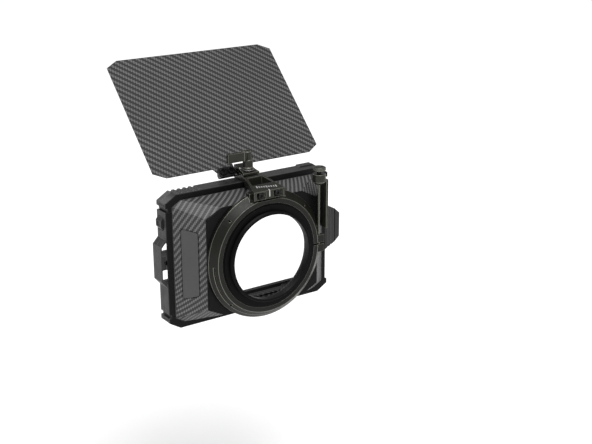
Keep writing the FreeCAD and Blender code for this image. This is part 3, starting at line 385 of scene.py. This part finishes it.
def has_one_rim(patch):
    """True if a patch's outline is a single closed loop, so that it can be one face."""
    inside = set(patch)
    rim = {e for face in patch for e in face.edges if sum(f in inside for f in e.link_faces) == 1}
    links = {}
    for edge in rim:
        for vert in edge.verts:
            links.setdefault(vert, []).append(edge)
    if not rim or any(len(edges) != 2 for edges in links.values()):
        return False
    start = next(iter(rim))
    vert, edge, count = start.verts[0], start, 0
    while True:
        vert = edge.other_vert(vert)
        edge = next(e for e in links[vert] if e is not edge)
        count += 1
        if edge is start:
            return count == len(rim)


def node_mesh(node):
    """A clean copy of a CAD node's mesh: points welded and flat patches joined, in millimetres."""
    bm = bmesh.new()
    bm.from_mesh(frame["nodes"][node].data)
    bmesh.ops.scale(bm, vec=Vector((1 / MM,) * 3), verts=bm.verts)
    bmesh.ops.remove_doubles(bm, verts=bm.verts, dist=WELD)
    bm.normal_update()
    for patch in flat_patches(bm):
        if len(patch) > 1 and has_one_rim(patch):
            bmesh.ops.dissolve_faces(bm, faces=patch)
    return bm


# a lighter copy of each finish for the bevel faces: a painted highlight along the rounded edges
HIGHLIGHT_EDGE_OF = {"charcoal_plastic": "charcoal_edge_highlight", "black_trim": "black_edge_highlight", "gunmetal": "gunmetal_edge_highlight",
           "gunmetal_turned": "gunmetal_edge_highlight"}


def piece(name, bm, body, material, bevel=0.0, segments=2, stands_for=()):
    """Makes a finished object from a mesh in millimetres and hangs it on its CAD body."""
    bmesh.ops.scale(bm, vec=Vector((MM,) * 3), verts=bm.verts)
    mesh = bpy.data.meshes.new(name)
    bm.to_mesh(mesh)
    bm.free()
    mesh.polygons.foreach_set("use_smooth", [True] * len(mesh.polygons))
    mesh.materials.append(MATERIALS[material])
    obj = bpy.data.objects.new(name, mesh)
    bpy.context.scene.collection.objects.link(obj)
    if bevel:
        rounding = obj.modifiers.new("EdgeRound", "BEVEL")
        rounding.width = bevel * MM
        rounding.segments = segments
        rounding.limit_method = "ANGLE"
        rounding.angle_limit = SHARP_ANGLE
        rounding.use_clamp_overlap = False
        rounding.miter_outer = "MITER_ARC"
        # the bevel faces take the lighter copy of the finish: painted edge highlights
        if material in HIGHLIGHT_EDGE_OF:
            mesh.materials.append(MATERIALS[HIGHLIGHT_EDGE_OF[material]])
            rounding.material = 1
    else:
        mesh.set_sharp_from_angle(angle=SHARP_ANGLE)
    normals = obj.modifiers.new("FaceNormals", "WEIGHTED_NORMAL")
    normals.keep_sharp = True
    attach(obj, body)
    if stands_for:
        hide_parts(*stands_for)
    return obj


def dress(node, material=None, bevel=0.3, segments=2, name=None):
    """A CAD node redone with rounded edges and its finish."""
    return piece(name or node + "_skin", node_mesh(node), BODY_OF[node],
                 material or SLOT_OF[node], bevel, segments, (node,))


def loose_boxes(node):
    """The box of each separate solid in a CAD node, in millimetres."""
    bm = node_mesh(node)
    left = set(bm.verts)
    boxes = []
    while left:
        seed = left.pop()
        found, edge = [seed], [seed]
        while edge:
            for link in edge.pop().link_edges:
                for vert in link.verts:
                    if vert in left:
                        left.remove(vert)
                        found.append(vert)
                        edge.append(vert)
        points = [v.co for v in found]
        low = Vector([min(p[i] for p in points) for i in range(3)])
        high = Vector([max(p[i] for p in points) for i in range(3)])
        boxes.append((low, high))
    bm.free()
    return sorted(boxes, key=lambda pair: tuple(pair[0]))


def ring_of(bm, radius, height, sides, scallop=0.0):
    """A ring of points; a scallop pulls every second point inwards."""
    points = []
    for i in range(sides):
        reach = radius - scallop * (i % 2)
        angle = 2 * math.pi * i / sides
        points.append(bm.verts.new((reach * math.cos(angle), reach * math.sin(angle), height)))
    return points


def bridge(bm, first, second):
    count = len(first)
    for i in range(count):
        j = (i + 1) % count
        bm.faces.new((first[i], first[j], second[j], second[i]))


def lathe(bm, profile, sides=64, closed=False):
    """Turns (radius, height) or (radius, height, scallop) points about Z; capped unless closed."""
    rings = [ring_of(bm, *stop[:2], sides, *stop[2:]) for stop in profile]
    for first, second in zip(rings, rings[1:]):
        bridge(bm, first, second)
    if closed:
        bridge(bm, rings[-1], rings[0])
    else:
        bm.faces.new(list(reversed(rings[0])))
        bm.faces.new(rings[-1])


def thread(radius, low, high, pitch):
    """The (radius, height) points of a screw thread's ridges."""
    turns = int((high - low) / pitch)
    stops = []
    for turn in range(turns):
        start = low + (high - low) * turn / turns
        stops.append((radius * 0.9 if radius < SMALL_THREAD else radius - pitch * 0.5, start))
        stops.append((radius, start + pitch * 0.5))
    return stops


def prism(bm, points, low, high):
    """An upright prism on an outline of (x, y) points, anticlockwise."""
    bottom = [bm.verts.new((x, y, low)) for x, y in points]
    top = [bm.verts.new((x, y, high)) for x, y in points]
    bm.faces.new(list(reversed(bottom)))
    bm.faces.new(top)
    bridge(bm, bottom, top)


def decal(bm, points, normal, thick=0.05):
    """A thin layer of ink over an outline that lies on a surface."""
    lift = Vector(normal).normalized()
    under = [bm.verts.new(Vector(point) - lift * thick) for point in points]
    over = [bm.verts.new(Vector(point) + lift * thick) for point in points]
    bm.faces.new(list(reversed(under)))
    bm.faces.new(over)
    bridge(bm, under, over)


def exact(bm, other, operation):
    """The union or difference of two closed meshes, both freed."""
    pair = []
    for source in (bm, other):
        mesh = bpy.data.meshes.new("spare")
        source.to_mesh(mesh)
        source.free()
        obj = bpy.data.objects.new("spare", mesh)
        bpy.context.scene.collection.objects.link(obj)
        pair.append(obj)
    joining = pair[0].modifiers.new("Joining", "BOOLEAN")
    joining.object = pair[1]
    joining.operation = operation
    joining.solver = "EXACT"
    finished = pair[0].evaluated_get(bpy.context.evaluated_depsgraph_get())
    result = bmesh.new()
    result.from_mesh(finished.to_mesh())
    finished.to_mesh_clear()
    for obj in pair:
        mesh = obj.data
        bpy.data.objects.remove(obj)
        bpy.data.meshes.remove(mesh)
    return result


def merge(bm, other, matrix):
    """Adds another mesh to this one through a placement, and frees it."""
    bmesh.ops.transform(other, matrix=matrix, verts=other.verts)
    spare = bpy.data.meshes.new("spare")
    other.to_mesh(spare)
    other.free()
    bm.from_mesh(spare)
    bpy.data.meshes.remove(spare)


AXES = {
    "+Z": Matrix.Identity(4),
    "-Z": Matrix.Rotation(math.pi, 4, "X"),
    "+Y": Matrix.Rotation(-math.pi / 2, 4, "X"),
    "-Y": Matrix.Rotation(math.pi / 2, 4, "X"),
    "+X": Matrix.Rotation(math.pi / 2, 4, "Y"),
    "-X": Matrix.Rotation(-math.pi / 2, 4, "Y"),
}


# ---------------------------------------------------------------- screws and springs

FLAG_REST = math.radians(45)
STRIP_THICK = 1.2
FLAG_SCREW_LONG, FLAG_SCREW_HEAD, FLAG_SCREW_SHANK = 7.0, 1.8, 1.19

# where each set's heads point, the heads' height and the shanks' radius
SCREWS = {
    "frame_screws": ("+Y", 1.8, 1.25),
    "grip_screws": ("-X", 1.7, 1.25),
    "hood_screws": ("-Y", 1.4, 0.98),
    "ring_screws": ("-Y", 1.2, 0.62),
    "bracket_screws": ("-Y", 1.9, 1.24),
    "lever_screw": ("+Z", 1.8, 1.2),
    "spindle_screw": ("+X", 1.8, 1.19),
    "cap_screw": ("-Y", 1.6, 1.29),
}


def socket_screw(head_radius, head_high, shank_radius, shank_long, knurls=28):
    """A socket cap screw standing on Z = 0: knurled head, hexagon socket, threaded shank."""
    bm = bmesh.new()
    sides = knurls * 2
    hexagon = head_radius * 0.52
    sink = head_high * 0.55
    chamfer = head_radius * 0.12
    knurl = head_radius * 0.035

    def hexed(radius, height):
        """The same number of points laid round a hexagon."""
        points = []
        for i in range(sides):
            angle = 2 * math.pi * i / sides
            off = (angle % (math.pi / 3)) - math.pi / 6
            reach = radius * math.cos(math.pi / 6) / math.cos(off)
            points.append(bm.verts.new((reach * math.cos(angle), reach * math.sin(angle), height)))
        return points

    pitch = shank_radius * 0.5
    turns = max(int(shank_long / pitch), 1)
    loops = [ring_of(bm, shank_radius * 0.7, -shank_long, sides)]
    for turn in range(turns):
        start = -shank_long + turn * shank_long / turns
        loops.append(ring_of(bm, shank_radius * 0.86, start + shank_long / turns * 0.2, sides))
        loops.append(ring_of(bm, shank_radius, start + shank_long / turns * 0.6, sides))
    loops.append(ring_of(bm, shank_radius * 0.9, 0, sides))
    loops.append(ring_of(bm, head_radius - knurl, 0, sides))
    loops.append(ring_of(bm, head_radius, knurl, sides, knurl))
    loops.append(ring_of(bm, head_radius, head_high - chamfer, sides, knurl))
    loops.append(ring_of(bm, head_radius - chamfer, head_high, sides))
    loops.append(hexed(hexagon * 1.12, head_high))
    loops.append(hexed(hexagon, head_high - chamfer * 0.6))
    loops.append(hexed(hexagon, head_high - sink))
    for first, second in zip(loops, loops[1:]):
        bridge(bm, first, second)
    bm.faces.new(list(reversed(loops[0])))
    bm.faces.new(loops[-1])
    return bm


def screws(node):
    """Every screw of a CAD node redone in detail."""
    direction, head_high, shank_radius = SCREWS[node]
    bm = bmesh.new()
    index = "XYZ".index(direction[1])
    sign = 1 if direction[0] == "+" else -1
    for low, high in loose_boxes(node):
        centre = (low + high) / 2
        radius = min(high[i] - low[i] for i in range(3) if i != index) / 2
        long = high[index] - low[index] - head_high
        seat = centre.copy()
        seat[index] = high[index] - head_high if sign > 0 else low[index] + head_high
        made = socket_screw(radius, head_high, shank_radius, long)
        merge(bm, made, Matrix.Translation(seat) @ AXES[direction])
    return piece(node + "_detail", bm, BODY_OF[node], SLOT_OF[node],
                 stands_for=(node,))


def coil(node, axis, wire):
    """A wound spring in the space that the CAD tube holds."""
    low, high = box_mm(node)
    index = "XYZ".index(axis)
    centre = (low + high) / 2
    radius = min(high[i] - low[i] for i in range(3) if i != index) / 2 - wire
    long = high[index] - low[index] - 2 * wire
    turns, steps, sides = 5, 24, 8
    bm = bmesh.new()
    loops = []
    for i in range(turns * steps + 1):
        share = i / (turns * steps)
        angle = 2 * math.pi * i / steps
        centre_line = Vector((radius * math.cos(angle), radius * math.sin(angle), (share - 0.5) * long))
        outward = Vector((math.cos(angle), math.sin(angle), 0))
        around = [2 * math.pi * k / sides for k in range(sides)]
        loops.append([bm.verts.new(centre_line + outward * wire * math.cos(a)
                                   + Vector((0, 0, wire * math.sin(a)))) for a in around])
    for first, second in zip(loops, loops[1:]):
        bridge(bm, first, second)
    bm.faces.new(loops[0])
    bm.faces.new(list(reversed(loops[-1])))
    bmesh.ops.recalc_face_normals(bm, faces=bm.faces)
    bmesh.ops.transform(bm, matrix=Matrix.Translation(centre) @ AXES["+" + axis], verts=bm.verts)
    return piece(node + "_coil", bm, BODY_OF[node], "steel", stands_for=(node,))


def tilted_screws(node, plate):
    """Screws through the flag's strip, which stand square to the tilted panel."""
    bm = bmesh.new()
    strip = middle(plate)
    tilt = Matrix.Rotation(FLAG_REST, 4, "X")
    outward = tilt @ Vector((0, 0, 1))
    for low, high in loose_boxes(node):
        radius = (high.x - low.x) / 2
        seat = Vector(((low.x + high.x) / 2, strip.y, strip.z)) + outward * STRIP_THICK / 2
        made = socket_screw(radius, FLAG_SCREW_HEAD, FLAG_SCREW_SHANK, FLAG_SCREW_LONG)
        merge(bm, made, Matrix.Translation(seat) @ tilt)
    return piece(node + "_detail", bm, BODY_OF[node], SLOT_OF[node], stands_for=(node,))


# ---------------------------------------------------------------- frame, hood and plate

def make_frame():
    for node in ("rear_frame", "front_frame"):
        dress(node, bevel=0.45)
    dress("rear_trim", bevel=0.3)
    dress("side_grip", bevel=0.5)
    screws("frame_screws")
    screws("grip_screws")


def make_hood():
    dress("hood_shell", "hood_weave", bevel=0.7, segments=3)
    dress("nameplate", "grey_plate", bevel=0.25)
    dress("centre_plate", "black_plate", bevel=0.25)
    screws("hood_screws")


# ---------------------------------------------------------------- clamp ring and adapter

KNURL = 0.28
LENS_THREAD_RADIUS, LENS_THREAD_PITCH = 41.0, 0.75
LIGHT_BORE = 38.5
ADAPTER_SIDES = 360


def make_adapter():
    """The black adapter: filter thread at the back, knurled collar, and a plain barrel."""
    low, high = box_mm("adapter_ring")
    outer, back, front = high.x, low.y, high.y
    collar, thread_radius, bore = outer - 1.0, LENS_THREAD_RADIUS, LIGHT_BORE
    ridges = thread(thread_radius, back + 0.2, -0.2, LENS_THREAD_PITCH)
    profile = [(bore, back), (thread_radius - 0.5, back)] + ridges + [
        (thread_radius - 0.4, -0.05), (thread_radius + 0.3, 0.0), (collar - 0.35, 0.0), (collar, 0.2, KNURL),
        (collar, 0.7, KNURL), (collar - 0.2, 0.8), (outer - 0.1, 1.0), (outer, 1.1), (outer, front - 0.1),
        (outer - 0.1, front), (bore + 3.0, front), (bore, 2.5)]
    bm = bmesh.new()
    lathe(bm, profile, ADAPTER_SIDES, closed=True)
    bmesh.ops.transform(bm, matrix=AXES["+Y"], verts=bm.verts)
    bmesh.ops.recalc_face_normals(bm, faces=bm.faces)
    piece("adapter_ring_skin", bm, BODY_OF["adapter_ring"], "adapter_black",
          stands_for=("adapter_ring",))


def make_ring():
    dress("clamp_ring", "gunmetal_turned", bevel=0.2)
    make_adapter()
    screws("ring_screws")


CLAMP_ROD, CLAMP_NECK, CLAMP_PITCH = 1.25, 2.1, 0.8
CLAMP_HEAD_GAP = 2.9
COIN_SLOT_HALF, COIN_SLOT_DEEP = 0.8, 1.2
CLAMP_SCREW_SIDES = 72


def make_clamp_screw():
    """The clamp screw: a knurled, coin-slotted head on a long threaded rod."""
    low, high = box_mm("clamp_screw")
    centre = (low + high) / 2
    head = (high.x - low.x) / 2
    base = box_mm("screw_guide")[1].z + CLAMP_HEAD_GAP
    rod, neck = CLAMP_ROD, CLAMP_NECK
    profile = [(rod * 0.8, low.z)] + thread(rod, low.z + 0.3, base - 3.2, CLAMP_PITCH) + [
        (rod, base - 2.9), (neck, base - 2.6), (neck, base), (head - 0.5, base), (head, base + 0.5, KNURL),
        (head, high.z - 0.5, KNURL), (head - 0.5, high.z)]
    bm = bmesh.new()
    lathe(bm, profile, CLAMP_SCREW_SIDES)
    slot = bmesh.new()
    past, half = head + 1, COIN_SLOT_HALF
    prism(slot, ((-past, -half), (past, -half), (past, half), (-past, half)),
          high.z - COIN_SLOT_DEEP, high.z + 1)
    bm = exact(bm, slot, "DIFFERENCE")
    bmesh.ops.translate(bm, vec=(centre.x, centre.y, 0), verts=bm.verts)
    piece("clamp_screw_detail", bm, BODY_OF["clamp_screw"], "gunmetal", 0.12,
          stands_for=("clamp_screw",))
    dress("screw_guide", "gunmetal", bevel=0.3)


# ---------------------------------------------------------------- bracket and lever

# the slope of the arm's top, its height at the back edge, and a point's depth and height on the ear
ARM_RISE = 0.2537
ARM_BACK_TOP = 59.9
EAR_DEPTH, EAR_HEIGHT = 28.4, 68.6
INDEX_HALF, INDEX_FOOT, INDEX_END = 0.36, 54.2, 1.9
TICKS = 9
TICK_HALF, TICK_SHORT, TICK_LONG = 0.32, 1.0, 1.5
ARROW = ((-6.6, 37.6), (-4.4, 37.6), (-5.5, 40.4))
TICK_ROW = (Vector((-8.0, 7.9, 0)), Vector((9.5, 4.7, 0)))


def arm_top(depth, height):
    """A point's height on the arm's sloping top, from the height at its back edge."""
    return height + (depth - box_mm("top_bracket")[0].y) * ARM_RISE


def on_arm(x, y, height):
    return Vector((x, y, arm_top(y, height)))


def make_arm_marks():
    """White index line over the arm's back edge, a row of ticks, and an arrow on the ear plate."""
    back = box_mm("top_bracket")[0].y
    edge = ARM_BACK_TOP
    slope = Vector((0, -ARM_RISE, 1))
    bm = bmesh.new()
    half, foot, end = INDEX_HALF, INDEX_FOOT, INDEX_END
    decal(bm, [Vector((-half, back, foot)), Vector((half, back, foot)), Vector((half, back, edge - 0.2)),
               Vector((-half, back, edge - 0.2))], (0, -1, 0))
    decal(bm, [on_arm(-half, back + 0.2, edge), on_arm(half, back + 0.2, edge), on_arm(half, end, edge),
               on_arm(-half, end, edge)], slope)
    along = (TICK_ROW[1] - TICK_ROW[0]).normalized()
    cross = Vector((-along.y, along.x, 0))
    for i in range(TICKS):
        centre = TICK_ROW[0].lerp(TICK_ROW[1], i / (TICKS - 1))
        reach = cross * (TICK_LONG if i % 4 == 0 else TICK_SHORT)
        side = along * TICK_HALF
        corners = (centre - side - reach, centre + side - reach, centre + side + reach, centre - side + reach)
        decal(bm, [on_arm(corner.x, corner.y, edge) for corner in corners], slope)
    ear_height = EAR_HEIGHT - (EAR_DEPTH - back) * ARM_RISE
    decal(bm, [on_arm(x, y, ear_height) for x, y in ARROW], slope)
    bmesh.ops.recalc_face_normals(bm, faces=bm.faces)
    piece("arm_marks", bm, BODY_OF["top_bracket"], "white_ink")


def make_bracket():
    dress("top_bracket", "gunmetal", bevel=0.22)
    make_arm_marks()
    screws("bracket_screws")
    dress("lever_washer", bevel=0.08)


def upright(profile, sides, x, y):
    """A turned post at a point."""
    bm = bmesh.new()
    lathe(bm, profile, sides)
    bmesh.ops.translate(bm, vec=(x, y, 0), verts=bm.verts)
    return bm


def make_lever_body():
    """The lever: a stepped hub, a flat blade and a cross screw, over the CAD lever's space."""
    low, high = box_mm("lock_lever")
    depth = (low.y + high.y) / 2
    hub = high.x - 0.1
    step, under = 79.4, 78.7
    neck, neck_left = 4.0, -0.95
    bm = upright([(hub - 0.4, low.z), (hub, low.z + 0.4), (hub, low.z + 1.6), (hub - 0.4, low.z + 2.0),
                  (hub - 0.4, step - 0.4), (hub - 0.8, step)], 48, 0, depth)
    top = upright([(neck, step - 1.0), (neck, high.z - 0.5), (neck - 0.5, high.z)], 40, neck_left, depth)
    bm = exact(bm, top, "UNION")
    blade = bmesh.new()
    tip, root = 1.6, 1.9
    prism(blade, ((low.x, depth - tip), (neck_left, depth - root), (neck_left, depth + root),
                  (low.x, depth + tip)), under, high.z - 0.6)
    bm = exact(bm, blade, "UNION")
    stub = bmesh.new()
    lathe(stub, [(1.1, 0.0), (1.1, 3.2), (0.8, 3.5)], 20)
    bmesh.ops.transform(stub, matrix=Matrix.Translation((1.2, depth - 1.4, step + 1.9)) @ AXES["+X"],
                        verts=stub.verts)
    bm = exact(bm, stub, "UNION")
    return exact(bm, upright([(2.4, high.z - 1.0), (2.4, high.z + 1.0)], 32, neck_left, depth), "DIFFERENCE")


def make_lever():
    piece("lock_lever_skin", make_lever_body(), BODY_OF["lock_lever"], "gunmetal", 0.2,
          stands_for=("lock_lever",))
    dress("lever_stud", bevel=0.15)
    coil("lever_spring", "Z", 0.35)
    screws("lever_screw")


# ---------------------------------------------------------------- flag

def make_flag():
    dress("flag_panel", "flag_weave", bevel=0.2)
    dress("flag_hinge_mount", "black_anodised", bevel=0.25)
    dress("flag_strip", "black_anodised", bevel=0.35)
    dress("spindle_washer", bevel=0.1)
    screws("spindle_screw")
    tilted_screws("flag_screws", "flag_strip")


# ---------------------------------------------------------------- tray and latch

def make_latch_spring():
    """The coil behind the button, on a mesh of its own; the real coil shortens towards its fixed end as the button
    is pressed.
    """
    spring = coil("latch_spring", "X", 0.3)
    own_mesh(spring)


def make_button():
    """The push button, with a shallow channel between two upright ribs."""
    low, high = box_mm("latch_button")
    bm = node_mesh("latch_button")
    channel = bmesh.new()
    rib, sunk, end = 1.7, 0.8, 3.4
    prism(channel, ((low.x - 1, low.y + rib), (low.x + sunk, low.y + rib), (low.x + sunk, high.y - rib),
                    (low.x - 1, high.y - rib)), low.z + end, high.z - end)
    piece("latch_button_skin", exact(bm, channel, "DIFFERENCE"), BODY_OF["latch_button"],
          SLOT_OF["latch_button"], 0.22, stands_for=("latch_button",))


def make_tray():
    dress("filter_tray", bevel=0.3)
    dress("filter_clips", bevel=0.1)
    dress("tray_cap_rear", bevel=0.45)
    dress("tray_cap_front", bevel=0.45)
    dress("tray_cap_trim", bevel=0.25)
    screws("cap_screw")
    make_latch_spring()
    make_button()


# ---------------------------------------------------------------- stage, light and camera

# the lights, the floor and the camera are placed in metres
FLOOR_DROP = 0.25
FLOOR_REACH = 6.0
WORLD_LEVEL = 0.38
SUN_LEVEL = 2.7
SUN_FROM = (-0.1, -0.5, 1.0)
SUN_SOFTNESS = math.radians(40)
VIEW_TARGET = Vector((0.04879, 0.031, 0.012935))
VIEW_AZIMUTH = math.radians(-34.90)
VIEW_ELEVATION = math.radians(18.96)
VIEW_DISTANCE = 1.001834
VIEW_LENS = 66.91
VIEW_SENSOR = 36.0


def soft_light(name, place, target, size, watts):
    lamp = bpy.data.lights.new(name, "AREA")
    lamp.shape = "RECTANGLE"
    lamp.size, lamp.size_y = size
    lamp.energy = watts
    obj = bpy.data.objects.new(name, lamp)
    obj.location = place
    obj.rotation_euler = (Vector(target) - Vector(place)).to_track_quat("-Z", "Y").to_euler()
    bpy.context.scene.collection.objects.link(obj)


def make_floor():
    bm = bmesh.new()
    below = CAD_BOX[0][2] - FLOOR_DROP
    corners = [bm.verts.new((x * FLOOR_REACH, y * FLOOR_REACH, below))
               for x, y in ((-1, -1), (1, -1), (1, 1), (-1, 1))]
    bm.faces.new(corners)
    mesh = bpy.data.meshes.new("Floor")
    bm.to_mesh(mesh)
    bm.free()
    g = Graph("PaleFloor")
    speck = g.noise(g.place(), 0.02, 2.0)
    mesh.materials.append(g.finish(g.mix(speck, (0.93, 0.93, 0.93, 1), (0.96, 0.96, 0.96, 1)), 0.9))
    floor = bpy.data.objects.new("Floor", mesh)
    bpy.context.scene.collection.objects.link(floor)


def make_lights():
    world = bpy.data.worlds.new("PaleStudio")
    world.use_nodes = True
    background = world.node_tree.nodes["Background"]
    background.inputs["Color"].default_value = (1.0, 1.0, 1.0, 1.0)
    background.inputs["Strength"].default_value = WORLD_LEVEL
    bpy.context.scene.world = world
    sun = bpy.data.lights.new("SoftSun", "SUN")
    sun.energy = SUN_LEVEL
    sun.angle = SUN_SOFTNESS
    lamp = bpy.data.objects.new("SoftSun", sun)
    lamp.rotation_euler = (-Vector(SUN_FROM)).to_track_quat("-Z", "Y").to_euler()
    bpy.context.scene.collection.objects.link(lamp)
    soft_light("FrontTop", place=(-0.2, 1.4, 1.15), target=(0, 0.04, 0.06), size=(1.2, 0.8), watts=8.0)
    soft_light("LeftStrip", place=(-1.3, -0.25, 0.35), target=(0, 0.03, 0.05), size=(0.12, 1.2), watts=1.6)


def make_camera():
    back = Vector((math.sin(VIEW_AZIMUTH) * math.cos(VIEW_ELEVATION),
                   -math.cos(VIEW_AZIMUTH) * math.cos(VIEW_ELEVATION), math.sin(VIEW_ELEVATION)))
    lens = bpy.data.cameras.new("View")
    lens.lens = VIEW_LENS
    lens.sensor_width = VIEW_SENSOR
    camera = bpy.data.objects.new("View", lens)
    camera.location = VIEW_TARGET + back * VIEW_DISTANCE
    camera.rotation_euler = (-back).to_track_quat("-Z", "Y").to_euler()
    bpy.context.scene.collection.objects.link(camera)
    bpy.context.scene.camera = camera


make_frame()
make_hood()
make_ring()
make_clamp_screw()
make_bracket()
make_lever()
make_flag()
make_tray()
make_floor()
make_lights()
make_camera()
bpy.context.scene.view_settings.view_transform = "Standard"
